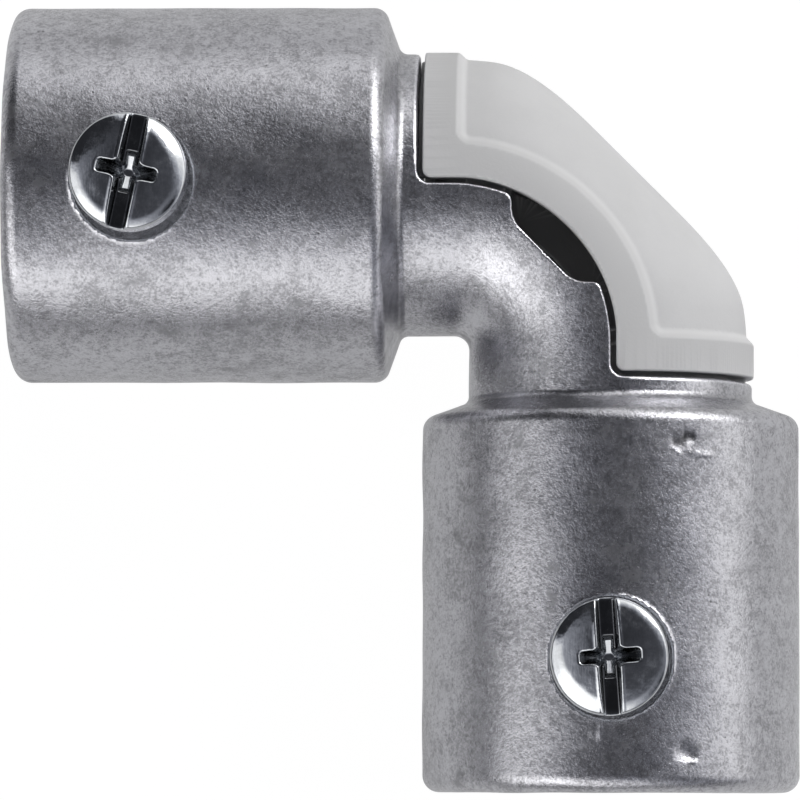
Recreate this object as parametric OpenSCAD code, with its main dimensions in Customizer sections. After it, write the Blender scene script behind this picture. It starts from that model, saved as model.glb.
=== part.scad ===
// Curved conduit connector: a die-cast elbow with two clamp sockets and a press-in inspection cover.
// The elbow lies on its back. The sockets open towards -X and -Y, and the clamp screws face up.

/* [Conduit sockets] */
// Outside diameter of the conduit that goes in
conduit_d = 26.7; // [25:0.1:28]
// Room around the conduit, on the radius
conduit_clearance = 0.25; // [0.1:0.05:0.45]
// Thickness of the socket's wall
socket_wall = 2.4; // [2.2:0.1:4]
// Depth of the socket, from the mouth to the conduit stop
socket_depth = 29.2; // [24:0.2:40]
// Rounding of the mouth's outer edge
mouth_round = 1.25; // [0.5:0.05:1.4]
// Chamfer of the mouth's inner edge
mouth_chamfer = 0.5; // [0.2:0.05:0.7]
// Slope of the shoulder, in degrees from square to the socket
shoulder_slope = 20; // [8:1:30]
// Rounding of the shoulder's outer edge
shoulder_round = 0.8; // [0.4:0.1:1.6]
// Fillet where the shoulder meets the neck
neck_fillet = 0.5; // [0.2:0.05:0.8]
// Thickness of the end wall, from the shoulder's root to the conduit stop
stop_wall = 4; // [3.4:0.1:7]

/* [Elbow tube] */
// Diameter of the wire passage
throat_d = 20; // [16:0.2:21]
// Thickness of the elbow's wall
tube_wall = 2.05; // [1.6:0.05:2.6]
// Radius on the inside of the bend
inner_corner = 1.3; // [0.8:0.1:5]
// Width of the plain neck beside each shoulder
neck_w = 1.6; // [1.2:0.1:4]
// Rounding of the throat's edge, which the wires pass over
throat_round = 1.2; // [0.4:0.1:2]

/* [Access mouth] */
// Length of the mouth past the bend, on each arm
mouth_run = 2.85; // [2:0.05:6]
// Radius of the mouth's corners, seen from the front
mouth_corner = 1.1; // [0.5:0.1:1.8]
// Chord of the pry notch along the front rim
notch_w = 10.3; // [6:0.1:12]
// Depth of the pry notch below the rim
notch_depth = 2.5; // [1:0.1:3]
// Cut across the pry notch's inner corners
notch_corner = 0.5; // [0.2:0.1:1]

/* [Inspection cover] */
// Gap between the cover and the mouth, all round
cover_gap = 0.45; // [0.2:0.05:0.8]
// Thickness of the cover's panel
cover_wall = 1.8; // [1.2:0.1:2.6]
// How far the flange stands proud of the elbow's tube
flange_proud = 0.15; // [0:0.05:0.6]
// Width of the flange, along the ends and the sides
flange_w = 2.75; // [1.8:0.05:3.2]
// Width of the sloped step from flange to panel
step_w = 0.8; // [0.3:0.05:0.9]
// Height of the sloped step from flange to panel
step_h = 0.6; // [0.2:0.05:1]
// How far the slanted corner cuts below the round of the bend
corner_cut = 3.05; // [1:0.05:3.6]
// Blend between the round of the bend and the slanted corner
corner_blend = 2.6; // [0.5:0.1:4]
// Width of each friction leg
leg_w = 3.4; // [2:0.1:4]
// Thickness of each friction leg
leg_t = 1.3; // [0.8:0.1:1.8]
// Reach of each friction leg below the rim
leg_l = 3.4; // [2:0.1:5]
// Room between the legs and the elbow's wall
leg_clearance = 0.3; // [0.15:0.05:0.5]
// Angle between each leg and the bend's end, in degrees
leg_angle = 12; // [10:1:14]
// Reach of the back edge's lip below the rim
lip_l = 1.3; // [0.6:0.1:2.4]
// Thickness of the back edge's lip
lip_t = 1; // [0.6:0.1:1.2]
// How far the back edge's lip runs into each neck
lip_run = 0.5; // [0.2:0.1:0.8]

/* [Clamp screws] */
// Thread diameter
thread_d = 5; // [4:0.5:6]
// Room around the shank in its hole, on the radius
thread_clearance = 0.05; // [0.02:0.01:0.09]
// Length under the head
screw_length = 6; // [5:0.5:10]
// Diameter of the head
head_d = 9.5; // [8:0.1:11]
// Height of the head
head_h = 3.7; // [3:0.1:4.5]
// Height of the head's straight side
head_side = 2.6; // [1.5:0.1:2.8]
// Width of the slot
slot_w = 1.25; // [0.8:0.05:1.6]
// Depth of the slot at the crown
slot_depth = 1.6; // [0.8:0.1:2]
// Span of the cross recess
cross_span = 5.4; // [4:0.1:6]
// Width of the cross recess's wings
cross_w = 1.35; // [1:0.05:1.6]
// Depth of the cross recess
cross_depth = 2.4; // [1.8:0.1:2.8]
// Chamfer of the shank's tip
tip_chamfer = 0.5; // [0.2:0.1:0.8]
// How far the backed-out tip stays short of the socket's bore
tip_setback = 0.15; // [0.05:0.05:0.5]
// Distance from each mouth to its screw
screw_inset = 11.2; // [8:0.1:15]
// Room around the head in its spot face, on the radius
spotface_clearance = 0.4; // [0.3:0.1:1.2]
// Depth of the spot face below the lowest point of its rim
spotface_depth = 0.15; // [0.05:0.05:0.4]
// Turn of the side screw's slot from the Y axis, in degrees
side_turn = -11.6; // [-90:0.1:90]
// Turn of the lower screw's slot from the Y axis, in degrees
lower_turn = 3.8; // [-90:0.1:90]

/* [Hidden] */
$fn = 96;

cast_aluminium = [0.62, 0.63, 0.64];
grey_plastic = [0.8, 0.8, 0.79];
zinc = [0.75, 0.77, 0.79];

// Radii of the sockets and the tube
bore_r = conduit_d / 2 + conduit_clearance;
socket_r = bore_r + socket_wall;
throat_r = throat_d / 2;
tube_r = throat_r + tube_wall;

// Distances along each arm from where the two axes cross
bend_r = tube_r + inner_corner;
mouth_end = bend_r + mouth_run;
shoulder_root = mouth_end + neck_w;
shoulder_run = (socket_r - tube_r) * tan(shoulder_slope);
stop_reach = shoulder_root + stop_wall;
reach = stop_reach + socket_depth;
screw_reach = reach - screw_inset;

// The middle of the two arms stands over the origin, and the sockets' backs lie on the ground
frame_shift = [(reach - socket_r) / 2, (reach - socket_r) / 2, socket_r];

// Pry notch: its ends lie on the rim, and its floor is square to the diagonal
notch_angle = asin(notch_w / 2 / bend_r);
notch_end = bend_r * cos(45 + notch_angle) - bend_r;
notch_floor = sqrt(2) * (bend_r - notch_depth) - 2 * bend_r;

// Inspection cover
flange_r = tube_r + flange_proud;
panel_r = flange_r - step_h;
cover_end = mouth_end - cover_gap;
flange_end = cover_end - flange_w;
panel_end = flange_end - step_w;
foot_r = throat_r - leg_clearance;
root_r = panel_r - cover_wall / 2;
root_inset = 0.4;
root_start = cover_gap + root_inset;
arc_steps = 30;
panel_steps = 12;

// Clamp screws
shank_r = thread_d / 2 - thread_clearance;
spotface_r = head_d / 2 + spotface_clearance;
spotface_z = sqrt(pow(socket_r, 2) - pow(spotface_r, 2)) - spotface_depth;
tip_z = bore_r + tip_setback;
dome_rise = head_h - head_side;
dome_r = (pow(head_d / 2, 2) + pow(dome_rise, 2)) / (2 * dome_rise);

// Small overlap for cuts that must break through
eps = 0.5;

function unit(v) = v / norm(v);

// The piece between corner p, which faces a and b, and a round of radius r that touches both sides
module corner_sliver(a, p, b, r) {
  u = unit(a - p);
  v = unit(b - p);
  half = acos(u * v) / 2;
  run = r / tan(half);
  centre = p + unit(u + v) * r / sin(half);
  difference() {
    polygon([p, p + u * run, centre, p + v * run]);
    translate(centre) circle(r);
  }
}

// Half section of one arm: radius along X, distance from the crossing of the axes along Y
module arm_section() {
  neck_start = [tube_r, bend_r];
  neck_root = [tube_r, shoulder_root];
  shoulder_edge = [socket_r, shoulder_root + shoulder_run];
  mouth_outer = [socket_r, reach];
  mouth_inner = [bore_r + mouth_chamfer, reach];
  stop_outer = [bore_r, stop_reach];
  stop_inner = [throat_r, stop_reach];
  throat_start = [throat_r, bend_r];
  union() {
    difference() {
      polygon([
        neck_start, neck_root, shoulder_edge, mouth_outer, mouth_inner,
        [bore_r, reach - mouth_chamfer], stop_outer, stop_inner, throat_start
      ]);
      corner_sliver(neck_root, shoulder_edge, mouth_outer, shoulder_round);
      corner_sliver(shoulder_edge, mouth_outer, mouth_inner, mouth_round);
      corner_sliver(stop_outer, stop_inner, throat_start, throat_round);
    }
    corner_sliver(neck_start, neck_root, shoulder_edge, neck_fillet);
  }
}

// The bend is a half tube: its outer side, past the tube's centre line, is the access mouth
module bend() {
  translate([-bend_r, -bend_r, 0])
    rotate_extrude(angle = 90)
      translate([bend_r, 0])
        difference() {
          circle(tube_r);
          circle(throat_r);
          translate([0, -tube_r - eps]) square(2 * (tube_r + eps));
        }
}

// Front view of the access mouth's end on the side arm
module mouth_outline() {
  corner = [-mouth_end, 0];
  far = tube_r + eps;
  difference() {
    translate(corner) square([mouth_run + eps, far]);
    corner_sliver(corner + [0, far], corner, corner + [far, 0], mouth_corner);
  }
}

// One arm along -X, open past its centre line as far as the access mouth reaches
module side_arm() {
  difference() {
    rotate([0, -90, 0]) rotate_extrude() arm_section();
    translate([0, 0, -tube_r - eps]) linear_extrude(2 * (tube_r + eps)) mouth_outline();
  }
}

// Front view of the pry notch, with its floor's corners cut off
module notch_outline() {
  floor_a = [notch_end, notch_floor - notch_end];
  floor_b = [notch_floor - notch_end, notch_end];
  along = unit(floor_b - floor_a) * notch_corner;
  polygon([
    [notch_end, 0], floor_a + [0, notch_corner], floor_a + along,
    floor_b - along, floor_b + [notch_corner, 0], [0, notch_end], [0, 0]
  ]);
}

// Spot face and threaded hole for one clamp screw, on the Z axis
module screw_seat() {
  translate([0, 0, spotface_z]) cylinder(h = socket_r, r = spotface_r);
  translate([0, 0, throat_r]) cylinder(h = socket_r, r = thread_d / 2);
}

// The lower arm is the side arm mirrored in the plane between them
module elbow_body() {
  color(cast_aluminium)
    translate(frame_shift)
      difference() {
        union() {
          side_arm();
          mirror([1, -1, 0]) side_arm();
          bend();
        }
        linear_extrude(tube_r + eps) notch_outline();
        translate([-screw_reach, 0, 0]) screw_seat();
        translate([0, -screw_reach, 0]) screw_seat();
      }
}

// Smaller of two lengths, with a smooth blend of width k between them
function soft_min(a, b, k) = min(a, b) - pow(max(k - abs(a - b), 0), 2) / (4 * k);

// Distance from point o along direction e to a circle of radius r about the bend's centre
function to_bend_circle(o, e, r) =
  let (d = o - [-bend_r, -bend_r], along = d * e)
  -along + sqrt(pow(along, 2) - d * d + r * r);

// Distance from point o along direction e to the cover's slanted corner
function to_slant(o, e) =
  let (diagonal = [1, 1] / sqrt(2), d = o - [-bend_r, -bend_r])
  (bend_r + panel_r - corner_cut - d * diagonal) / (e * diagonal);

// One station of the cover: a point on the tube's centre line, the outward direction,
// the panel's height above the centre line, and whether the flange covers the whole section
function end_station(p, e) = [p, e, panel_r, true];
function bend_station(angle) =
  let (
    o = [-panel_end, -panel_end],
    e = [cos(angle), sin(angle)],
    rim = to_bend_circle(o, e, bend_r),
    crown = to_bend_circle(o, e, bend_r + panel_r)
  )
  [o + rim * e, e, soft_min(crown, to_slant(o, e), corner_blend) - rim, false];

cover_stations = concat(
  [end_station([-cover_end, 0], [0, 1]), end_station([-flange_end, 0], [0, 1])],
  [for (i = [0:arc_steps]) bend_station(90 - 90 * i / arc_steps)],
  [end_station([0, -flange_end], [1, 0]), end_station([0, -cover_end], [1, 0])]
);

// A point at height h on a half ellipse of half width w and height top: [half width there, h]
function on_ellipse(w, top, h) = [w * sqrt(1 - pow(h / top, 2)), h];

// Points from the foot of the cover to its crown, on half ellipses for the flange and the panel
function half_section(flange_w_r, flange_top, panel_w_r, panel_top) =
  let (
    flange_h = [cover_gap, cover_gap + flange_w / 2, cover_gap + flange_w],
    start = asin((cover_gap + flange_w + step_w) / panel_top)
  )
  concat(
    [for (h = flange_h) on_ellipse(flange_w_r, flange_top, h)],
    [for (i = [0:panel_steps])
      let (t = start + (90 - start) * i / panel_steps)
      [panel_w_r * cos(t), panel_top * sin(t)]]
  );

function outer_half(s) =
  s[3] ? half_section(flange_r, s[2] + step_h, flange_r, s[2] + step_h)
       : half_section(flange_r, s[2] + step_h, panel_r, s[2]);
function inner_half(s) =
  let (w = panel_r - cover_wall, top = s[2] - cover_wall)
  half_section(w, top, w, top);

// From a half section to the whole: the front half up to the crown, then the back half down
function whole_section(half) =
  let (last = len(half) - 1)
  concat(half, [for (i = [last - 1:-1:0]) [-half[i][0], half[i][1]]]);

function place(s, q) = [s[0][0] + s[1][0] * q[1], s[0][1] + s[1][1] * q[1], q[0]];

// The cover's shell: closed rings, outside and then inside, joined along the bend
module cover_shell() {
  outer = [for (s = cover_stations) [for (q = whole_section(outer_half(s))) place(s, q)]];
  inner = [for (s = cover_stations) [for (q = whole_section(inner_half(s))) place(s, q)]];
  rings = len(outer);
  n = len(outer[0]);
  ring = 2 * n;
  points = [for (i = [0:rings - 1]) each concat(outer[i], [for (k = [n - 1:-1:0]) inner[i][k]])];
  sides = [
    for (i = [0:rings - 2], k = [0:ring - 1])
      let (a = i * ring + k, b = i * ring + (k + 1) % ring)
      each [[a, b, a + ring], [b, b + ring, a + ring]]
  ];
  last = (rings - 1) * ring;
  caps = [
    for (k = [0:n - 2])
      let (a = k, b = k + 1, c = ring - 2 - k, d = ring - 1 - k)
      each [[a, c, b], [a, d, c], [last + a, last + b, last + c], [last + a, last + c, last + d]]
  ];
  polyhedron(points, concat(sides, caps), convexity = 6);
}

// One friction leg: a rib inside the panel, and a tongue that bears on the elbow's inner wall
module cover_leg(angle, side) {
  skin = 0.2;
  root_top = cover_gap + flange_w;
  tip_r = leg_t / 2;
  tip_out = sqrt(pow(foot_r, 2) - pow(leg_l, 2)) - tip_r;
  translate([-bend_r, -bend_r, 0])
    rotate([0, 0, angle])
      translate([bend_r, -leg_w / 2, 0])
        mirror([0, 0, side]) {
          hull() {
            translate([root_start, 0, foot_r - leg_t]) cube([skin, leg_w, root_r - foot_r + leg_t]);
            translate([root_top, 0, foot_r - leg_t]) cube([skin, leg_w, leg_t]);
          }
          hull() {
            translate([root_start, 0, foot_r - leg_t]) cube([skin, leg_w, leg_t]);
            translate([tip_r - leg_l, 0, tip_out]) rotate([-90, 0, 0]) cylinder(h = leg_w, r = tip_r, $fn = 24);
          }
        }
}

// Section of the back edge's lip below its root: height above the rim along X, depth along Y
module lip_tongue() {
  lip_tip = [-lip_l, sqrt(pow(foot_r, 2) - pow(lip_l, 2))];
  polygon([[-lip_l, foot_r - lip_t], lip_tip, [root_start, foot_r], [root_start, foot_r - lip_t]]);
}

module lip_section() {
  union() {
    lip_tongue();
    translate([root_start, foot_r - lip_t]) square([lip_t, root_r - foot_r + lip_t]);
  }
}

// A straight run of the section given as its child, between two places on the side arm
module along_side_arm(from, to) {
  translate([-to, 0, 0]) rotate([90, 0, 90]) linear_extrude(to - from) children();
}

// Lip along the cover's back edge, which closes the gap there and runs a little way into both necks
module back_lip() {
  mirror([0, 0, 1]) {
    translate([-bend_r, -bend_r, 0]) rotate_extrude(angle = 90) translate([bend_r, 0]) lip_section();
    for (swap = [0, 1])
      mirror([swap, -swap, 0]) {
        along_side_arm(bend_r, cover_end - root_inset) lip_section();
        along_side_arm(bend_r, mouth_end + lip_run) lip_tongue();
      }
  }
}

module inspection_cover() {
  color(grey_plastic)
    translate(frame_shift)
      union() {
        cover_shell();
        back_lip();
        for (angle = [leg_angle, 90 - leg_angle], side = [0, 1]) cover_leg(angle, side);
      }
}

// Half section of a clamp screw, with the tip at the origin
module screw_section() {
  shank_points = [
    [0, 0], [shank_r - tip_chamfer, 0], [shank_r, tip_chamfer],
    [shank_r, screw_length + head_side], [0, screw_length + head_side]
  ];
  union() {
    polygon(shank_points);
    translate([0, screw_length])
      intersection() {
        square([head_d / 2, head_h]);
        translate([0, head_h - dome_r]) circle(dome_r);
      }
  }
}

// Slot across the whole head, with a cross recess that narrows towards its floor
module screw_recess() {
  crown = screw_length + head_h;
  translate([-slot_w / 2, -head_d, crown - slot_depth]) cube([slot_w, 2 * head_d, slot_depth + eps]);
  intersection() {
    translate([0, 0, crown - cross_depth]) cylinder(h = cross_depth + eps, r1 = cross_w / 2, r2 = cross_span / 2);
    union() {
      translate([-cross_w / 2, -head_d, 0]) cube([cross_w, 2 * head_d, crown + eps]);
      translate([-head_d, -cross_w / 2, 0]) cube([2 * head_d, cross_w, crown + eps]);
    }
  }
}

module clamp_screw(place, turn) {
  color(zinc)
    translate(frame_shift + place + [0, 0, tip_z])
      rotate([0, 0, turn])
        difference() {
          rotate_extrude() screw_section();
          screw_recess();
        }
}

module side_clamp_screw() {
  clamp_screw([-screw_reach, 0, 0], side_turn);
}

module lower_clamp_screw() {
  clamp_screw([0, -screw_reach, 0], lower_turn);
}

elbow_body();
inspection_cover();
side_clamp_screw();
lower_clamp_screw();
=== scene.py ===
"""Curved conduit connector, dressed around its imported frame.

The elbow casting, the moulded cover and the clamp screws are meshed from rounded forms. Their sizes
are in millimetres in the elbow's own frame, whose origin is the crossing of the two socket axes.
"""

from __future__ import annotations

import logging
import math
from collections.abc import Callable, Mapping, Sequence
from dataclasses import dataclass
from enum import Enum
from typing import Any

import bpy
import numpy as np
from mathutils import Matrix, Vector

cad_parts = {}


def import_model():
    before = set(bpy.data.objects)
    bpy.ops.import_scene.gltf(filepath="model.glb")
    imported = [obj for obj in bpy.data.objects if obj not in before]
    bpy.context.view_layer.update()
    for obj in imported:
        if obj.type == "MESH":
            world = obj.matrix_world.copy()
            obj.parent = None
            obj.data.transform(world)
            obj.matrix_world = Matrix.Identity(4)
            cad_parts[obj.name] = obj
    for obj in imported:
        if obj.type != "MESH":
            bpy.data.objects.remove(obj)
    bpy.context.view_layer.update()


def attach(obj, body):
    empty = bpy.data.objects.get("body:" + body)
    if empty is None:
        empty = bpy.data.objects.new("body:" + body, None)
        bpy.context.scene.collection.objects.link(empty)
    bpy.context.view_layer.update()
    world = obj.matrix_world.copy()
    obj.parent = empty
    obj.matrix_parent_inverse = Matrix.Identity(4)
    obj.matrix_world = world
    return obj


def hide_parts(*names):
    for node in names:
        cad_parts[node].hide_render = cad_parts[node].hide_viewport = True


LOG = logging.getLogger("conduit_connector")
MM = 0.001
ROOT_2 = math.sqrt(2)
PHOTO_SIDE = 800

# Room round a form in its mesher's box, in millimetres
MESH_MARGIN = 0.6

# The elbow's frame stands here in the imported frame, in millimetres
ELBOW_ORIGIN = np.array([17.5, 17.5, 16.0])

Field = Callable[[np.ndarray], np.ndarray]


class Body(Enum):
    """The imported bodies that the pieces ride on."""

    ELBOW = "elbow"
    COVER = "cover"
    SIDE_SCREW = "side_screw"
    LOWER_SCREW = "lower_screw"


class Slot(Enum):
    """The record's material slots."""

    CAST = "cast_aluminium"
    PLASTIC = "cover_plastic"
    ZINC = "zinc_plated_steel"


def round_max(a: np.ndarray, b: np.ndarray, r: float | np.ndarray) -> np.ndarray:
    """Where two forms overlap, with their common edge rounded.

    Args:
        a: Distance to the first form.
        b: Distance to the second form.
        r: Radius of the edge.

    Returns:
        Distance to the overlap.
    """
    corner = np.hypot(np.maximum(a + r, 0), np.maximum(b + r, 0))
    return np.minimum(-r, np.maximum(a, b)) + corner


def round_min(a: np.ndarray, b: np.ndarray, r: float | np.ndarray) -> np.ndarray:
    """Two forms joined with a fillet.

    Args:
        a: Distance to the first form.
        b: Distance to the second form.
        r: Radius of the fillet.

    Returns:
        Distance to the joined form.
    """
    return -round_max(-a, -b, r)


def smooth_ramp(low: float, high: float, x: np.ndarray) -> np.ndarray:
    """Goes smoothly from 0 at low to 1 at high.

    Args:
        low: Value of x where the ramp leaves 0.
        high: Value of x where the ramp reaches 1.
        x: Values to look up.

    Returns:
        The ramp's height for each value.
    """
    share = np.clip((x - low) / (high - low), 0, 1)
    return share * share * (3 - 2 * share)


@dataclass
class FormMesher:
    """Meshes the zero level of a distance field and settles its points on it."""

    field: Field
    low: tuple[float, float, float]
    high: tuple[float, float, float]
    cell: float
    probe: float = 0.02
    batch: int = 400_000
    least_slope: float = 0.05
    near_cells: int = 4

    def sample(self, points: np.ndarray) -> np.ndarray:
        """Reads the field in batches.

        Args:
            points: One point a row.

        Returns:
            The field at each point.
        """
        parts = [self.field(points[i : i + self.batch]) for i in range(0, len(points), self.batch)]
        return np.concatenate(parts)

    def slope(self, points: np.ndarray) -> np.ndarray:
        """Reads the field's gradient by central differences.

        Args:
            points: One point a row.

        Returns:
            The gradient at each point, one a row.
        """
        steps = np.eye(3) * self.probe
        sides = [self.sample(points + step) - self.sample(points - step) for step in steps]
        return np.stack(sides, axis=1) / (2 * self.probe)

    def settle(self, points: np.ndarray, rounds: int) -> np.ndarray:
        """Moves points along the gradient onto the surface.

        Args:
            points: One point a row, near the surface.
            rounds: Number of Newton steps.

        Returns:
            The moved points.
        """
        for _ in range(rounds):
            slope = self.slope(points)
            steep = np.maximum((slope * slope).sum(axis=1), self.least_slope)
            step = (self.sample(points) / steep)[:, None] * slope
            points = points - np.clip(step, -self.cell / 2, self.cell / 2)
        return points

    def normals(self, points: np.ndarray) -> np.ndarray:
        """Gives the surface's outward direction at each point.

        Args:
            points: One point a row.

        Returns:
            Unit directions, one a row.
        """
        slope = self.slope(points)
        return slope / np.maximum(np.linalg.norm(slope, axis=1), 1e-6)[:, None]

    def bulge(self, points: np.ndarray, span: float) -> np.ndarray:
        """Measures how sharply the form turns: above 0 on outer edges, below 0 in corners.

        Args:
            points: One point a row, on the surface.
            span: Distance over which the turn is read.

        Returns:
            The field's curvature at each point, per millimetre.
        """
        total = -6 * self.sample(points)
        for step in np.eye(3) * span:
            total = total + self.sample(points + step) + self.sample(points - step)
        return total / (span * span)

    def grid_values(self, axes: Sequence[np.ndarray]) -> np.ndarray:
        """Samples the field on a grid, at every second node and finely near the surface.

        Args:
            axes: The grid's coordinates along X, Y and Z.

        Returns:
            The field at each node; far from the surface only its sign is exact.
        """
        coarse_axes = [axis[::2] for axis in axes]
        nodes = np.stack(np.meshgrid(*coarse_axes, indexing="ij"), axis=-1)
        values = self.sample(nodes.reshape(-1, 3)).reshape(nodes.shape[:3])
        for k, axis in enumerate(axes):
            values = np.repeat(values, 2, axis=k).take(np.arange(len(axis)), axis=k)
        near = np.argwhere(np.abs(values) < self.near_cells * self.cell)
        points = np.stack([axes[k][near[:, k]] for k in range(3)], axis=1)
        values[tuple(near.T)] = self.sample(points)
        return values

    def net(self) -> tuple[np.ndarray, np.ndarray]:
        """Builds a surface net with one point for each grid cell that the surface crosses.

        Returns:
            The points, one a row, and the quads, one a row of point numbers.
        """
        low, high = np.array(self.low), np.array(self.high)
        counts = np.ceil((high - low) / self.cell).astype(int) + 1
        axes = [low[k] + self.cell * np.arange(counts[k]) for k in range(3)]
        values = self.grid_values(axes)
        inside = values < 0
        corners = [np.array([i, j, k]) for i in (0, 1) for j in (0, 1) for k in (0, 1)]
        filled = np.zeros(counts - 1, np.int8)
        for c in corners:
            ends = counts - 1 + c
            filled += inside[c[0] : ends[0], c[1] : ends[1], c[2] : ends[2]]
        cells = np.argwhere((filled > 0) & (filled < 8))
        number = np.full(counts - 1, -1, np.int32)
        number[tuple(cells.T)] = np.arange(len(cells))
        total = np.zeros((len(cells), 3))
        hits = np.zeros(len(cells))
        for c in corners:
            for k in range(3):
                if c[k]:
                    continue
                step = np.eye(3, dtype=int)[k]
                start = values[tuple((cells + c).T)]
                end = values[tuple((cells + c + step).T)]
                crossed = (start < 0) != (end < 0)
                share = np.where(crossed, start / np.where(crossed, start - end, 1), 0)
                total += crossed[:, None] * (c + share[:, None] * step)
                hits += crossed
        points = low + self.cell * (cells + total / hits[:, None])
        quads = [self.wall(inside, number, k) for k in range(3)]
        return points, np.concatenate(quads)

    @staticmethod
    def wall(inside: np.ndarray, number: np.ndarray, k: int) -> np.ndarray:
        """Makes the quads around the grid edges along one axis.

        Args:
            inside: Whether each node lies inside the form.
            number: The point's number for each cell.
            k: The axis.

        Returns:
            Quads that face out of the form.
        """
        step, side, up = (np.eye(3, dtype=int)[(k + n) % 3] for n in range(3))
        ahead = np.roll(inside, -1, axis=k)
        crossed = inside != ahead
        limits = np.array(inside.shape) - 1
        edges = np.argwhere(crossed)
        room = ((edges > 0) | (step > 0)).all(axis=1) & (edges < limits).all(axis=1)
        edges = edges[room]
        ring = [edges, edges - side, edges - side - up, edges - up]
        quads = np.stack([number[tuple(cell.T)] for cell in ring], axis=1)
        leaving = inside[tuple(edges.T)]
        return np.where(leaving[:, None], quads, quads[:, ::-1])


def mesh_from(name: str, points: np.ndarray, faces: np.ndarray) -> bpy.types.Mesh:
    """Makes a mesh from arrays.

    Args:
        name: The mesh's name.
        points: One point a row, in metres.
        faces: One face a row, all with as many corners.

    Returns:
        The mesh, smooth shaded.
    """
    mesh = bpy.data.meshes.new(name)
    count, sides = faces.shape
    mesh.vertices.add(len(points))
    mesh.vertices.foreach_set("co", points.astype(np.float32).ravel())
    mesh.loops.add(count * sides)
    mesh.loops.foreach_set("vertex_index", faces.astype(np.int32).ravel())
    mesh.polygons.add(count)
    mesh.polygons.foreach_set("loop_start", np.arange(0, count * sides, sides, dtype=np.int32))
    mesh.update(calc_edges=True)
    mesh.shade_smooth()
    return mesh


def show(name: str, mesh: bpy.types.Mesh) -> bpy.types.Object:
    """Puts a mesh in the scene.

    Args:
        name: The object's name.
        mesh: Its mesh.

    Returns:
        The new object, at the origin.
    """
    obj = bpy.data.objects.new(name, mesh)
    bpy.context.scene.collection.objects.link(obj)
    return obj


def evaluated_mesh(obj: bpy.types.Object) -> bpy.types.Mesh:
    """Gives what an object's modifiers make, as a plain mesh.

    Args:
        obj: The object.

    Returns:
        A new mesh.
    """
    graph = bpy.context.evaluated_depsgraph_get()
    return bpy.data.meshes.new_from_object(obj.evaluated_get(graph))


def thinned(points: np.ndarray, quads: np.ndarray, limit: int) -> tuple[np.ndarray, np.ndarray]:
    """Takes triangles out of the flatter stretches of a net.

    Args:
        points: One point a row.
        quads: One quad a row.
        limit: Number of triangles to keep.

    Returns:
        The points and triangles that are left.
    """
    obj = show("net", mesh_from("net", points, quads))
    thin = obj.modifiers.new("thin", "DECIMATE")
    thin.ratio = min(1.0, limit / (2 * len(quads)))
    thin.use_collapse_triangulate = True
    mesh = evaluated_mesh(obj)
    kept = np.zeros(3 * len(mesh.vertices), np.float32)
    mesh.vertices.foreach_get("co", kept)
    corners = np.zeros(3 * len(mesh.polygons), np.int32)
    mesh.polygons.foreach_get("vertices", corners)
    bpy.data.meshes.remove(obj.data)
    bpy.data.meshes.remove(mesh)
    return kept.reshape(-1, 3).astype(float), corners.reshape(-1, 3)


def store_marks(mesh: bpy.types.Mesh, marks: Mapping[str, np.ndarray]) -> None:
    """Stores marks on a mesh's points.

    Args:
        mesh: The mesh.
        marks: One value a point, by the mark's name.
    """
    for label, values in marks.items():
        mark = mesh.attributes.new(label, "FLOAT", "POINT")
        mark.data.foreach_set("value", values.astype(np.float32))


@dataclass(frozen=True)
class WearAndLightSpan:
    """The curvature range, per millimetre, for edges painted bright as rubbing and painted
    highlight, and corners painted dark as painted shade.
    """

    span: float
    edge_low: float
    edge_high: float
    corner_low: float
    corner_high: float


def form_piece(
    name: str,
    mesher: FormMesher,
    limit: int,
    wear_and_light: WearAndLightSpan,
    own_marks: Mapping[str, Field],
) -> bpy.types.Object:
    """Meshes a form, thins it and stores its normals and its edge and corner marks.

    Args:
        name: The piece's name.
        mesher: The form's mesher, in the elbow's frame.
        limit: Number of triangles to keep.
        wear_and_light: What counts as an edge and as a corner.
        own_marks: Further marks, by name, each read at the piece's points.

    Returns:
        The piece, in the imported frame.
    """
    points, quads = mesher.net()
    points = mesher.settle(points, rounds=2)
    points, faces = thinned(points, quads, limit)
    points = mesher.settle(points, rounds=2)
    mesh = mesh_from(name, (points + ELBOW_ORIGIN) * MM, faces)
    bulge = mesher.bulge(points, wear_and_light.span)
    # Outer edges get a mark painted bright, partly as rubbing and partly as a painted highlight;
    # inner corners get a mark of painted shade.
    marks = {
        "edge_wear_and_highlight": smooth_ramp(wear_and_light.edge_low, wear_and_light.edge_high, bulge),
        "corner_painted_shade": smooth_ramp(wear_and_light.corner_low, wear_and_light.corner_high, -bulge),
        **{label: read(points) for label, read in own_marks.items()},
    }
    store_marks(mesh, marks)
    mesh.normals_split_custom_set_from_vertices(mesher.normals(points))
    return show(name, mesh)


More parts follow.
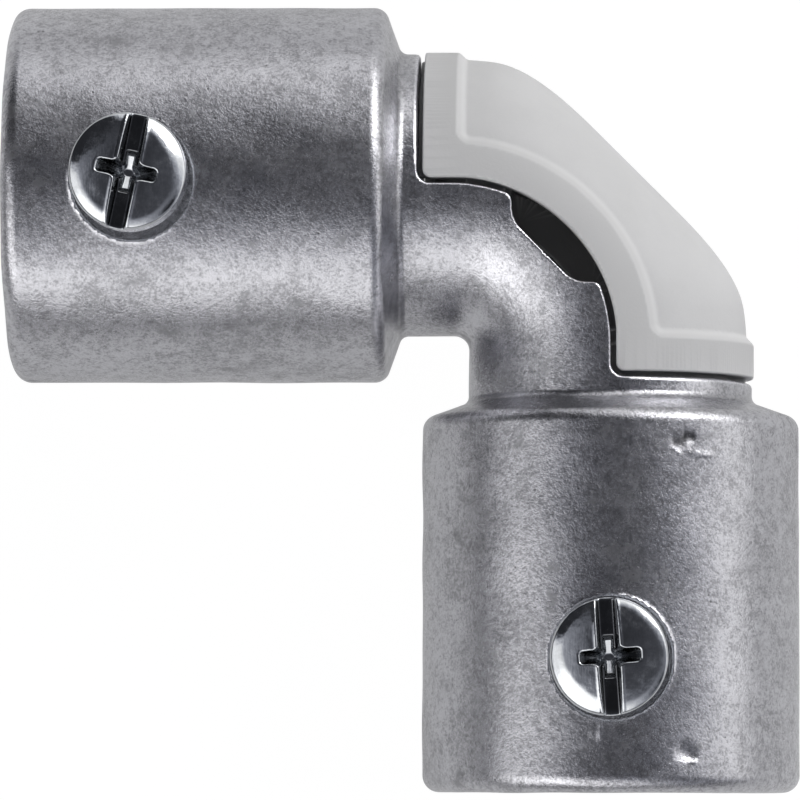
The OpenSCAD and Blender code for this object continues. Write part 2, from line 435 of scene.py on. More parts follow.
class Value:
    """One output socket, with arithmetic that adds Math nodes."""

    def __init__(self, graph: NodeGraph, socket: bpy.types.NodeSocket) -> None:
        """Keeps the socket and the graph that it belongs to."""
        self.graph = graph
        self.socket = socket

    def math(self, operation: str, *others: Value | float) -> Value:
        """Adds a Math node that takes this value first.

        Args:
            operation: The Math node's operation.
            others: The values after this one.

        Returns:
            The node's result.
        """
        inputs = dict(enumerate([self, *others]))
        return self.graph.add("ShaderNodeMath", {"operation": operation}, inputs)

    def clamped(self) -> Value:
        """Keeps the value between 0 and 1."""
        return self.graph.add("ShaderNodeClamp", {}, {"Value": self})

    def ramp(self, low: float, high: float, start: float = 0.0, end: float = 1.0) -> Value:
        """Maps a range smoothly onto another.

        Args:
            low: Value that gives start.
            high: Value that gives end.
            start: Result at and before low.
            end: Result at and after high.

        Returns:
            The mapped value.
        """
        inputs = {"Value": self, "From Min": low, "From Max": high, "To Min": start, "To Max": end}
        return self.graph.add("ShaderNodeMapRange", {"interpolation_type": "SMOOTHSTEP"}, inputs)

    def __add__(self, other: Value | float) -> Value:
        """Adds another value."""
        return self.math("ADD", other)

    def __radd__(self, other: float) -> Value:
        """Adds this value to a number."""
        return self.math("ADD", other)

    def __sub__(self, other: Value | float) -> Value:
        """Takes another value away."""
        return self.math("SUBTRACT", other)

    def __rsub__(self, other: float) -> Value:
        """Takes this value from a number."""
        return self.math("MULTIPLY", -1.0) + other

    def __mul__(self, other: Value | float) -> Value:
        """Multiplies by another value."""
        return self.math("MULTIPLY", other)

    def __rmul__(self, other: float) -> Value:
        """Multiplies a number by this value."""
        return self.math("MULTIPLY", other)

    def __truediv__(self, other: Value | float) -> Value:
        """Divides by another value."""
        return self.math("DIVIDE", other)


class NodeGraph:
    """Adds nodes to one node tree and links them."""

    def __init__(self, tree: bpy.types.NodeTree) -> None:
        """Keeps the tree and empties it."""
        self.tree = tree
        tree.nodes.clear()

    @staticmethod
    def pick(sockets: Any, key: str | int | None) -> bpy.types.NodeSocket:
        """Finds a socket.

        Args:
            sockets: A node's inputs or outputs.
            key: The socket's name, its number, or None for the first.

        Returns:
            The first socket in use that fits.
        """
        if isinstance(key, int):
            return sockets[key]
        return next(s for s in sockets if s.enabled and key in (None, s.name))

    def add(
        self,
        kind: str,
        settings: Mapping[str, Any] | None = None,
        inputs: Mapping[str | int, Any] | None = None,
        output: str | int | None = None,
    ) -> Value:
        """Adds a node, sets it and links it.

        Args:
            kind: The node's type.
            settings: Its settings, made first; "stops" fills a colour ramp.
            inputs: Numbers, links or lists of links for its sockets.
            output: The output that is wanted, or None for the first.

        Returns:
            The wanted output.
        """
        node = self.tree.nodes.new(kind)
        for name, setting in (settings or {}).items():
            if name == "stops":
                self.fill_ramp(node.color_ramp, setting)
            else:
                setattr(node, name, setting)
        for key, given in (inputs or {}).items():
            socket = self.pick(node.inputs, key)
            for one in given if isinstance(given, list) else [given]:
                if isinstance(one, Value):
                    self.tree.links.new(one.socket, socket)
                else:
                    socket.default_value = one
        return Value(self, self.pick(node.outputs, output) if node.outputs else None)

    @staticmethod
    def fill_ramp(ramp: bpy.types.ColorRamp, stops: Sequence[tuple[float, float]]) -> None:
        """Gives a colour ramp grey stops.

        Args:
            ramp: The ramp.
            stops: Pairs of place and grey level.
        """
        while len(ramp.elements) < len(stops):
            ramp.elements.new(0.5)
        for element, (place, level) in zip(ramp.elements, stops):
            element.position = place
            element.color = (level, level, level, 1.0)

    def vector(
        self, operation: str, *items: Value | Sequence[float], output: str = "Vector"
    ) -> Value:
        """Adds a Vector Math node.

        Args:
            operation: The node's operation.
            items: Its vectors, in order.
            output: "Vector" or "Value".

        Returns:
            The wanted output.
        """
        inputs = dict(enumerate(items))
        return self.add("ShaderNodeVectorMath", {"operation": operation}, inputs, output)

    def mix(self, share: Value | float, a: Any, b: Any) -> Value:
        """Mixes two colours.

        Args:
            share: Share of the second colour.
            a: First colour.
            b: Second colour.

        Returns:
            The mixed colour.
        """
        inputs = {"Factor": share, "A": a, "B": b}
        return self.add("ShaderNodeMix", {"data_type": "RGBA"}, inputs)

    def millimetres(self, stretch: tuple[float, float, float] = (1.0, 1.0, 1.0)) -> Value:
        """Gives Object coordinates in millimetres, stretched along the axes.

        Args:
            stretch: Factors for X, Y and Z.

        Returns:
            The coordinates.
        """
        place = self.add("ShaderNodeTexCoord", output="Object")
        return self.vector("MULTIPLY", place, tuple(s / MM for s in stretch))

    def noise(self, place: Value, size: float, detail: float = 2.0, rough: float = 0.5) -> Value:
        """Adds soft noise.

        Args:
            place: Coordinates in millimetres.
            size: Width of a blob, in millimetres.
            detail: Number of finer layers.
            rough: Strength of the finer layers.

        Returns:
            A value around 0.5.
        """
        inputs = {"Vector": place, "Scale": 1 / size, "Detail": detail, "Roughness": rough}
        return self.add("ShaderNodeTexNoise", {}, inputs, 0)

    def specks(self, place: Value, spacing: float) -> Value:
        """Adds scattered round specks.

        Args:
            place: Coordinates in millimetres.
            spacing: Mean distance between specks, in millimetres.

        Returns:
            Distance to the nearest speck's middle, as a share of the spacing.
        """
        inputs = {"Vector": place, "Scale": 1 / spacing}
        return self.add("ShaderNodeTexVoronoi", {}, inputs, "Distance")

    def mark(self, name: str) -> Value:
        """Reads a mark that is stored on the piece's points.

        Args:
            name: The mark's name.

        Returns:
            Its value.
        """
        return self.add("ShaderNodeAttribute", {"attribute_name": name}, output="Fac")

    def bump(self, height: Value, depth_mm: float, normal: Value | None = None) -> Value:
        """Turns a height into a bumped normal.

        Args:
            height: Height from 0 to 1.
            depth_mm: What a height of 1 stands for, in millimetres.
            normal: A normal that is already bumped, or None.

        Returns:
            The new normal.
        """
        inputs: dict[str | int, Any] = {"Distance": depth_mm * MM, "Height": height}
        inputs["Strength"] = 1.0
        if normal is not None:
            inputs["Normal"] = normal
        return self.add("ShaderNodeBump", {}, inputs)

    def surface(self, inputs: Mapping[str | int, Any]) -> None:
        """Ends the tree in one Principled shader.

        Args:
            inputs: Numbers and links for the shader's sockets.
        """
        shader = self.add("ShaderNodeBsdfPrincipled", {}, inputs)
        self.add("ShaderNodeOutputMaterial", {}, {"Surface": shader})


def new_material(name: str) -> tuple[bpy.types.Material, NodeGraph]:
    """Makes an empty node material.

    Args:
        name: Its name.

    Returns:
        The material and the graph of its nodes.
    """
    material = bpy.data.materials.new(name)
    material.use_nodes = True
    return material, NodeGraph(material.node_tree)


def grey(level: float, tint: tuple[float, float, float] = (1.0, 1.0, 1.0)) -> tuple[float, ...]:
    """Gives a grey colour.

    Args:
        level: Linear grey level.
        tint: Factors for red, green and blue.

    Returns:
        Red, green, blue and alpha.
    """
    return (*(level * t for t in tint), 1.0)


@dataclass(frozen=True)
class Toning:
    """How a mark tones a finish: its strength, and its level against the plain one's."""

    mark: str
    strength: float
    factor: float


@dataclass(frozen=True)
class CastFinish:
    """Tumbled die-cast aluminium: fine grain, dull patches, pits, edges partly rubbed and partly
    painted highlight, and corners in painted shade.

    The sizes and depths of its textures are in millimetres, as in the other finishes.
    """

    dull: float = 0.36
    clean: float = 0.66
    wear_and_highlight_grey: float = 0.88
    soot_and_shade: float = 0.08
    tint: tuple[float, float, float] = (0.985, 0.985, 1.03)
    rough: float = 0.24
    metal: float = 0.9
    patch_size: float = 7.0
    cloud_size: float = 2.0
    fleck_size: float = 0.7
    sand_size: float = 0.24
    smudge_size: float = 2.8
    pit_spacing: float = 0.9
    cloud_depth: float = 0.03
    grain_depth: float = 0.034

    def make(self) -> bpy.types.Material:
        """Builds the material.

        Returns:
            The material.
        """
        material, g = new_material("cast_aluminium")
        place = g.millimetres()
        patches = g.noise(place, self.patch_size, 7.0, 0.66).ramp(0.38, 0.6)
        clouds = g.noise(place, self.cloud_size, 6.0, 0.68)
        flecks = g.noise(place, self.fleck_size, 3.0, 0.6)
        sand = g.noise(place, self.sand_size, 3.0, 0.75)
        # Edges are painted brighter, partly as rubbed metal and partly as a painted highlight.
        wear_and_light = (g.mark("edge_wear_and_highlight") * (0.3 + 1.2 * sand)).clamped()
        darkening = g.mark("corner_painted_shade")
        pits = g.specks(place, self.pit_spacing).ramp(0.16, 0.05) * clouds.ramp(0.5, 0.62)
        smudge = g.noise(place, self.smudge_size, 8.0, 0.76).ramp(0.56, 0.66)
        shade = 0.34 * patches + 0.4 * clouds.ramp(0.3, 0.7)
        body = (shade + 2.2 * flecks + 3.6 * sand - 2.6).clamped()
        colour = g.mix(body, grey(self.dull, self.tint), grey(self.clean, self.tint))
        colour = g.mix(0.55 * smudge * (0.5 + sand), colour, grey(0.55 * self.dull, self.tint))
        colour = g.mix(wear_and_light, colour, grey(self.wear_and_highlight_grey, self.tint))
        # Pits and the knocks that hold soil are really darker; inner corners are darkened as
        # painted shade.
        dark = 0.75 * pits + 0.4 * darkening + g.mark("knock") * (0.4 + 0.6 * flecks)
        colour = g.mix(dark.clamped(), colour, grey(self.soot_and_shade, self.tint))
        rough = self.rough - 0.05 * patches + 0.12 * smudge + 0.06 * clouds - 0.06 * wear_and_light
        metal = self.metal + 0.08 * patches
        normal = g.bump(clouds, self.cloud_depth)
        normal = g.bump(0.6 * flecks + sand - 0.5 * pits, self.grain_depth, normal)
        looks = {"Metallic": metal.clamped(), "Roughness": rough.clamped(), "Normal": normal}
        g.surface({"Base Color": colour, **looks})
        return material


@dataclass(frozen=True)
class PlasticFinish:
    """Matte light grey moulded plastic with a faint texture, edges paler as rubbing and painted
    highlight, a step in painted light, and a flange and inside in painted shade.
    """

    level: float = 0.75
    tint: tuple[float, float, float] = (1.0, 1.0, 0.99)
    shades: tuple[float, float] = (0.96, 1.03)
    tones: tuple[Toning, ...] = (
        # The slope between flange and panel is painted lighter, as painted light.
        Toning("step_painted_light", 0.75, 1.13),
        # The flange is painted darker, as painted shade.
        Toning("flange_painted_shade", 0.5, 0.8),
        # The inside is painted darker, as painted shade.
        Toning("inside_painted_shade", 0.8, 0.3),
        # Edges are painted paler, partly as rubbing and partly as a painted highlight.
        Toning("edge_wear_and_highlight", 0.35, 1.12),
    )
    rough: float = 0.5
    specular: float = 0.4
    cloud_size: float = 5.0
    texture_size: float = 0.25
    texture_depth: float = 0.012

    def make(self) -> bpy.types.Material:
        """Builds the material.

        Returns:
            The material.
        """
        material, g = new_material("cover_plastic")
        place = g.millimetres()
        clouds = g.noise(place, self.cloud_size, 4.0, 0.55)
        texture = g.noise(place, self.texture_size, 2.0, 0.5)
        shade = (clouds.ramp(0.3, 0.7) * 0.6 + texture * 0.4).clamped()
        colour = g.mix(shade, *(grey(self.level * factor, self.tint) for factor in self.shades))
        for tone in self.tones:
            toned = grey(self.level * tone.factor, self.tint)
            colour = g.mix(g.mark(tone.mark) * tone.strength, colour, toned)
        rough = self.rough + 0.12 * clouds
        looks = {"Specular IOR Level": self.specular, "Normal": g.bump(texture, self.texture_depth)}
        g.surface({"Base Color": colour, "Roughness": rough, **looks})
        return material


@dataclass(frozen=True)
class ZincFinish:
    """Bright zinc plating on pressed steel, with drag marks, dull patches and painted shade in its
    cuts.
    """

    level: float = 0.72
    tint: tuple[float, float, float] = (0.97, 1.0, 1.03)
    shades: tuple[float, float] = (0.8, 1.05)
    recess_shade: Toning = Toning("recess", 0.8, 0.15)
    rough: float = 0.05
    drag_size: float = 0.12
    drag_stretch: tuple[float, float, float] = (1.0, 0.12, 1.0)
    patch_size: float = 1.2
    dent_size: float = 0.9
    dent_depth: float = 0.02
    drag_depth: float = 0.004

    def make(self) -> bpy.types.Material:
        """Builds the material.

        Returns:
            The material.
        """
        material, g = new_material("zinc_plating")
        place = g.millimetres()
        drag = g.noise(g.millimetres(self.drag_stretch), self.drag_size, 3.0, 0.6)
        patches = g.noise(place, self.patch_size, 6.0, 0.66)
        shade = (patches.ramp(0.35, 0.65) * 0.7 + drag * 0.3).clamped()
        colour = g.mix(shade, *(grey(self.level * factor, self.tint) for factor in self.shades))
        # The slot and the recess are painted darker, sparing the recess's floor facets, as painted
        # shade.
        painted_shade_grey = grey(self.level * self.recess_shade.factor, self.tint)
        colour = g.mix(g.mark(self.recess_shade.mark) * self.recess_shade.strength, colour, painted_shade_grey)
        rough = self.rough + 0.2 * patches.ramp(0.4, 0.75) + 0.04 * drag
        normal = g.bump(g.noise(place, self.dent_size, 2.0, 0.5), self.dent_depth)
        normal = g.bump(drag, self.drag_depth, normal)
        g.surface({"Base Color": colour, "Metallic": 1.0, "Roughness": rough, "Normal": normal})
        return material


@dataclass(frozen=True)
class Scar:
    """A scoop that a knock has left, or a burr where its depth is below 0.

    Its turn is in degrees, and its dirt is a share from 0 to 1.
    """

    x: float
    y: float
    half_l: float
    half_w: float
    depth: float
    turn: float
    darkening: float = 0.0

    def cut(self, x: np.ndarray, y: np.ndarray) -> np.ndarray:
        """Gives the scoop's depth under each point.

        Args:
            x: Each point's X.
            y: Each point's Y.

        Returns:
            The depth, which fades to 0 round the scoop.
        """
        c, s = math.cos(math.radians(self.turn)), math.sin(math.radians(self.turn))
        ahead = ((x - self.x) * c + (y - self.y) * s) / self.half_l
        aside = ((y - self.y) * c - (x - self.x) * s) / self.half_w
        return self.depth * np.exp(-(ahead**4) - aside**2)


@dataclass
class ElbowCasting:
    """The die-cast elbow: two clamp sockets, their necks and a half-tube bend with its mouth."""

    bore_r: float = 13.6
    socket_r: float = 16.0
    throat_r: float = 10.0
    throat_round: float = 1.2
    tube_r: float = 12.05
    bend_r: float = 13.35
    mouth_end: float = 16.2
    mouth_corner: float = 1.1
    shoulder_root: float = 17.8
    shoulder_slope: float = math.radians(20)
    shoulder_round: float = 0.8
    neck_fillet: float = 0.5
    stop_reach: float = 21.8
    reach: float = 50.9
    rim_round: float = 1.45
    rim_chamfer: float = 0.5
    notch_side: float = -8.283
    notch_floor: float = -11.356
    notch_corner: float = 0.7
    notch_round: float = 0.5
    screw_reach: float = 39.8
    seat_r: float = 5.06
    seat_z: float = 14.93
    hole_r: float = 2.5
    cut_edge: float = 0.2
    ring_edge: float = 0.35
    ring_fade: tuple[float, float] = (1.5, 4.0)
    bore_edge: float = 0.1
    burr_h: float = 0.09
    burr_w: float = 0.16
    burr_least: float = 0.2
    burr_side: tuple[float, float] = (-0.4, 1.0)
    front_fade: float = 4.0
    dirt_depths: tuple[float, float] = (0.03, 0.1)
    wave_height: float = 0.012
    wave_length: float = 7.0
    wave_count: int = 6
    seed: int = 7
    cell: float = 0.24
    quick_cell: float = 0.5
    faces: int = 150_000
    wear_and_light: WearAndLightSpan = WearAndLightSpan(0.25, 0.8, 2.6, 0.6, 2.2)
    scars: tuple[Scar, ...] = (
        Scar(5.6, -21.9, 0.6, 0.6, 0.11, 0.0, 1.0),
        Scar(6.45, -21.45, 0.55, 0.5, 0.13, 0.0, 1.0),
        Scar(7.55, -22.85, 1.1, 0.24, -0.075, -6.0),
        Scar(5.4, -22.6, 0.6, 0.13, -0.035, -35.0),
        Scar(6.2, -47.6, 0.85, 0.7, 0.17, -25.0),
        Scar(6.65, -48.3, 0.7, 0.16, -0.045, -3.0),
        Scar(-0.9, -45.75, 0.75, 0.27, -0.12, 85.0),
        Scar(-1.5, -45.9, 0.5, 0.25, -0.06, 70.0),
        Scar(-21.5, 13.0, 1.6, 0.3, 0.08, -15.0),
    )

    def waves(self, p: np.ndarray) -> np.ndarray:
        """Gives the slow unevenness of the cast skin.

        Args:
            p: One point a row.

        Returns:
            Height at each point.
        """
        draw = np.random.default_rng(self.seed)
        height = np.zeros(len(p))
        for _ in range(self.wave_count):
            direction = draw.normal(size=3)
            direction *= 2 * math.pi / self.wave_length / np.linalg.norm(direction)
            height += np.sin(p @ direction + draw.uniform(0, 2 * math.pi))
        return self.wave_height * height

    def front(self, z: np.ndarray) -> np.ndarray:
        """Fades from 0 at the plane of the axes to 1 on the front."""
        return smooth_ramp(0.0, self.front_fade, z)

    def knock(self, p: np.ndarray) -> np.ndarray:
        """Marks the scoops that hold dirt, from 0 to 1."""
        depth = sum(scar.darkening * scar.cut(p[:, 0], p[:, 1]) for scar in self.scars)
        return smooth_ramp(*self.dirt_depths, depth) * self.front(p[:, 2])

    def field(self, p: np.ndarray) -> np.ndarray:
        """Measures how far points lie outside the casting.

        Args:
            p: One point a row, in the elbow's frame.

        Returns:
            Distance to the surface, below 0 inside.
        """
        x, y, z = p.T
        low, high = np.minimum(x, y), np.maximum(x, y)
        along = np.maximum(-low, self.bend_r)
        round_corner = np.hypot(low + self.bend_r, high + self.bend_r) - self.bend_r
        across = np.where(low > -self.bend_r, round_corner, high)
        r = np.hypot(across, z)
        root = self.shoulder_root + (r - self.tube_r) * math.tan(self.shoulder_slope)
        shoulder = (root - along) * math.cos(self.shoulder_slope)
        socket = round_max(r - self.socket_r, shoulder, self.shoulder_round)
        outer = round_min(socket, r - self.tube_r, self.neck_fillet)
        outer = round_max(outer, along - self.reach, self.rim_round)
        from_screw = np.hypot(along - self.screw_reach, across)
        off_axis = across - along + self.screw_reach
        side = np.where(x > y, 1, -1) * off_axis / np.maximum(from_screw, 1)
        around = smooth_ramp(*self.burr_side, side)
        burr = np.exp(-(((from_screw - self.seat_r - self.burr_w) / self.burr_w) ** 2))
        burr = burr * (self.burr_least + (1 - self.burr_least) * around)
        knocks = sum(scar.cut(x, y) for scar in self.scars)
        outer = outer + self.front(z) * (knocks - self.burr_h * burr)
        bore = np.maximum(r - self.bore_r, self.stop_reach - along)
        chamfer = (r - self.bore_r - self.rim_chamfer - along + self.reach) / ROOT_2
        hollow = round_min(np.minimum(bore, chamfer), r - self.throat_r, self.throat_round)
        solid = round_max(outer, -hollow, self.bore_edge)
        mouth = round_max(-across, along - self.mouth_end, self.mouth_corner)
        notch_base = (self.notch_floor - x - y) / ROOT_2
        notch = round_max(self.notch_side - low, notch_base, self.notch_corner)
        mouth = round_min(mouth, np.maximum(notch, -z), self.notch_round)
        ring = smooth_ramp(*self.ring_fade, across)
        edge = self.cut_edge + (self.ring_edge - self.cut_edge) * ring
        solid = round_max(solid, -mouth, edge)
        seat = np.maximum(from_screw - self.seat_r, self.seat_z - z)
        solid = round_max(solid, -seat, self.cut_edge)
        hole = np.maximum(from_screw - self.hole_r, self.throat_r - z)
        return round_max(solid, -hole, self.cut_edge) + self.waves(p)

    def build(self, material: bpy.types.Material) -> bpy.types.Object:
        """Makes the casting.

        Args:
            material: Its finish.

        Returns:
            The piece.
        """
        top = self.socket_r + MESH_MARGIN
        start = -self.reach - MESH_MARGIN
        cell = self.cell
        mesher = FormMesher(self.field, (start, start, -top), (top, top, top), cell)
        marks = {"knock": self.knock}
        piece = form_piece("elbow_casting", mesher, self.faces, self.wear_and_light, marks)
        piece.data.materials.append(material)
        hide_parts("elbow_body")
        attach(piece, Body.ELBOW.value)
        return piece


@dataclass
class InspectionCover:
    """The moulded cover: flange, sloped step, crowned panel with a slanted corner, and four legs.

    A lip along its back edge and a bead at each end close its gaps to the casting.
    """

    bend_r: float = 13.35
    panel_r: float = 11.6
    gap: float = 0.45
    end: float = 15.75
    panel_end: float = 12.2
    flange_w: float = 2.75
    step_w: float = 0.9
    step_h: float = 0.6
    step_corner: float = 1.3
    wall: float = 1.8
    corner_cut: float = 3.05
    corner_blend: float = 2.6
    outline_corner: float = 0.7
    edge: float = 0.14
    leg_angle: float = math.radians(78)
    leg_half_w: float = 1.7
    leg_foot: tuple[float, float] = (0.75, 9.05)
    leg_tip: tuple[float, float] = (-2.75, 8.435)
    leg_r: float = 0.65
    leg_edge: float = 0.25
    rib_top: float = 10.75
    rib_end: float = 3.4
    lip_inner: float = 8.7
    lip_outer: float = 9.7
    lip_root: float = 10.7
    lip_span: tuple[float, float, float] = (-1.3, 0.85, 1.85)
    lip_ends: tuple[float, float] = (16.7, 15.35)
    lip_round: float = 0.2
    bead_span: tuple[float, float] = (15.2, 16.12)
    bead_r: tuple[float, float, float] = (9.2, 10.3, 11.5)
    bead_fade: float = 2.0
    bead_foot: float = 0.6
    bead_round: float = 0.15
    least_top: float = 1.0
    least_hollow: float = 0.5
    inner_round: float = 0.2
    inner_depths: tuple[float, float] = (0.5, 1.0)
    cell: float = 0.18
    quick_cell: float = 0.4
    faces: int = 110_000
    wear_and_light: WearAndLightSpan = WearAndLightSpan(0.2, 1.2, 3.0, 0.8, 2.4)

    def to_circle(self, share: np.ndarray, r: float) -> np.ndarray:
        """Measures along a fan's ray to a circle about the bend's centre.

        Args:
            share: Sum of the ray's two direction parts.
            r: Radius of the circle.

        Returns:
            Distance from the fan's hub to the circle.
        """
        hub = self.bend_r - self.panel_end
        along = hub * share
        return -along + np.sqrt(along**2 - 2 * hub**2 + r**2)

    @staticmethod
    def to_ellipse(side: np.ndarray, height: np.ndarray, w: float, top: np.ndarray) -> np.ndarray:
        """Measures how far points lie outside a half ellipse.

        Args:
            side: Distance from its middle.
            height: Height above its foot.
            w: Its half width.
            top: Its height.

        Returns:
            Distance, close to exact near the ellipse.
        """
        level = np.hypot(side / w, height / top)
        slope = np.hypot(side / w**2, height / top**2)
        return level * (level - 1) / np.maximum(slope, 1e-4)

    def leg(self, low: np.ndarray, high: np.ndarray, z: np.ndarray) -> np.ndarray:
        """Measures how far points lie outside a friction leg and its rib.

        Args:
            low: Smaller of X and Y.
            high: Larger of X and Y.
            z: Distance from the plane of the axes.

        Returns:
            Distance to the leg.
        """
        c, s = math.cos(self.leg_angle), math.sin(self.leg_angle)
        out = (low + self.bend_r) * c + (high + self.bend_r) * s - self.bend_r
        aside = (high + self.bend_r) * c - (low + self.bend_r) * s
        foot, tip = np.array(self.leg_foot), np.array(self.leg_tip)
        run = tip - foot
        share = ((out - foot[0]) * run[0] + (z - foot[1]) * run[1]) / (run @ run)
        share = np.clip(share, 0, 1)
        tongue = np.hypot(out - foot[0] - share * run[0], z - foot[1] - share * run[1]) - self.leg_r
        base = foot[1] - self.leg_r
        fall = (self.rib_top - foot[1] - self.leg_r) / (self.rib_end - foot[0])
        roof = (z - self.rib_top + fall * (out - foot[0])) / math.hypot(1, fall)
        rib = np.maximum(np.maximum(foot[0] - out, out - self.rib_end), np.maximum(base - z, roof))
        return round_max(np.minimum(tongue, rib), np.abs(aside) - self.leg_half_w, self.leg_edge)

    def lip(self, low: np.ndarray, high: np.ndarray, back: np.ndarray) -> np.ndarray:
        """Measures how far points lie outside the lip that closes the gap along the back edge.

        Args:
            low: Smaller of X and Y.
            high: Larger of X and Y.
            back: Distance behind the plane of the axes.

        Returns:
            Distance to the lip.
        """
        turned = np.hypot(low + self.bend_r, high + self.bend_r) - self.bend_r
        out = np.where(low > -self.bend_r, turned, high)
        start, seam, stop = self.lip_span
        inner = self.lip_inner - back
        skin = np.hypot(np.minimum(out, 0), back) - self.lip_outer
        span = np.maximum(start - out, out - stop)
        tongue = round_max(span, np.maximum(inner, skin), self.lip_round)
        root = np.maximum(inner, back - self.lip_root)
        root = np.maximum(np.maximum(seam - out, out - stop), root)
        ends = [-low - end for end in self.lip_ends]
        return np.minimum(round_max(tongue, ends[0], self.lip_round), np.maximum(root, ends[1]))

    def bead(self, low: np.ndarray, high: np.ndarray, back: np.ndarray) -> np.ndarray:
        """Measures how far points lie outside the bead that fills the gap at each end.

        Args:
            low: Smaller of X and Y.
            high: Larger of X and Y.
            back: Distance behind the plane of the axes.

        Returns:
            Distance to the bead, which stands lower on the front half.
        """
        r = np.hypot(high, back)
        inner, front, rear = self.bead_r
        rearward = smooth_ramp(-self.bead_fade, 0.0, back)
        ring = np.maximum(inner - r, r - front - (rear - front) * rearward)
        run = np.maximum(self.bead_span[0] + low, -low - self.bead_span[1])
        return round_max(np.maximum(ring, self.bead_foot - high), run, self.bead_round)

    def section(
        self, low: np.ndarray, high: np.ndarray
    ) -> tuple[np.ndarray, np.ndarray, np.ndarray]:
        """Measures points against the rim that the cover follows.

        Args:
            low: Smaller of X and Y.
            high: Larger of X and Y.

        Returns:
            Height above the rim, the panel's height there, and the flange's share of the step.
        """
        in_fan = low > -self.panel_end
        ray = np.stack([np.maximum(low, -self.panel_end), high]) + self.panel_end
        length = np.maximum(np.hypot(*ray), 1e-3)
        share = ray.sum(axis=0) / length
        swing = (ray[1] ** 2 - ray[0] ** 2) / length**2
        seam = self.panel_end - self.to_circle(np.ones(1), self.bend_r)
        rim = self.to_circle(share, self.bend_r) + seam * swing**2
        crown = self.to_circle(share, self.bend_r + self.panel_r)
        hub = (self.bend_r - self.panel_end) * ROOT_2
        flat = self.bend_r + self.panel_r - self.corner_cut - hub
        slant = flat * ROOT_2 / np.maximum(share, 0.2)
        close = np.maximum(self.corner_blend - np.abs(crown - slant), 0)
        blend = close**2 / (4 * self.corner_blend)
        top = np.where(in_fan, np.minimum(crown, slant) - blend - rim, self.panel_r)
        height = np.where(in_fan, length - rim, high)
        above = self.flange_w + self.gap - height
        beyond = self.flange_w - self.end - low
        past = round_max(above, beyond, self.step_corner)
        raised = 1 - smooth_ramp(0.0, self.step_w, -past)
        return height, np.maximum(top, self.least_top), raised

    def skin(self, p: np.ndarray) -> np.ndarray:
        """Measures how far points lie outside the cover's outer face.

        Args:
            p: One point a row, in the elbow's frame.

        Returns:
            Distance to the face, below 0 under it.
        """
        low, high, z = p[:, :2].min(axis=1), p[:, :2].max(axis=1), np.abs(p[:, 2])
        height, top, raised = self.section(low, high)
        return self.to_ellipse(z, height, self.panel_r, top) - self.step_h * raised

    def flange_painted_shade(self, p: np.ndarray) -> np.ndarray:
        """Marks the flange, which the plastic paints a little darker as painted shade, from 0 to 1.
        """
        return self.section(p[:, :2].min(axis=1), p[:, :2].max(axis=1))[2]

    def step_painted_light(self, p: np.ndarray) -> np.ndarray:
        """Marks the slope between flange and panel, which the plastic paints lighter as painted
        light, from 0 to 1.
        """
        raised = self.flange_painted_shade(p)
        return np.sqrt(4 * raised * (1 - raised))

    def inside_painted_shade(self, p: np.ndarray) -> np.ndarray:
        """Marks what lies under the outer face, which the plastic paints darker as painted shade,
        from 0 to 1.
        """
        return smooth_ramp(*self.inner_depths, -self.skin(p))

    def field(self, p: np.ndarray) -> np.ndarray:
        """Measures how far points lie outside the cover.

        Args:
            p: One point a row, in the elbow's frame.

        Returns:
            Distance to the surface, below 0 inside.
        """
        x, y, z = p.T
        low, high, back, z = np.minimum(x, y), np.maximum(x, y), -z, np.abs(z)
        height, top, _ = self.section(low, high)
        border = round_max(self.gap - height, -self.end - low, self.outline_corner)
        outer = round_max(self.skin(p), border, self.edge)
        hollow = np.maximum(top - self.wall, self.least_hollow)
        inner = self.to_ellipse(z, height, self.panel_r - self.wall, hollow)
        shell = round_max(outer, -inner, self.inner_round)
        inside = np.minimum(self.leg(low, high, z), self.lip(low, high, back))
        inside = np.minimum(inside, self.bead(low, high, back))
        return round_min(shell, inside, self.inner_round)

    def build(self, material: bpy.types.Material) -> bpy.types.Object:
        """Makes the cover.

        Args:
            material: Its finish.

        Returns:
            The piece.
        """
        reach = self.panel_r + self.step_h + MESH_MARGIN
        start = -self.lip_ends[0] - MESH_MARGIN
        cell = self.cell
        mesher = FormMesher(self.field, (start, start, -reach), (reach, reach, reach), cell)
        # The step is painted lighter as painted light; the flange and the inside are painted darker
        # as painted shade.
        marks = {
            "flange_painted_shade": self.flange_painted_shade,
            "step_painted_light": self.step_painted_light,
            "inside_painted_shade": self.inside_painted_shade,
        }
        piece = form_piece("moulded_cover", mesher, self.faces, self.wear_and_light, marks)
        piece.data.materials.append(material)
        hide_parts("inspection_cover")
        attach(piece, Body.COVER.value)
        return piece


@dataclass(frozen=True)
class ScrewPlace:
    """Where one clamp screw stands, its turn in degrees, and how far its head and dome are off."""

    piece: str
    node: str
    body: Body
    x: float
    y: float
    turn: float
    shift: tuple[float, float]
    lean: tuple[float, float]


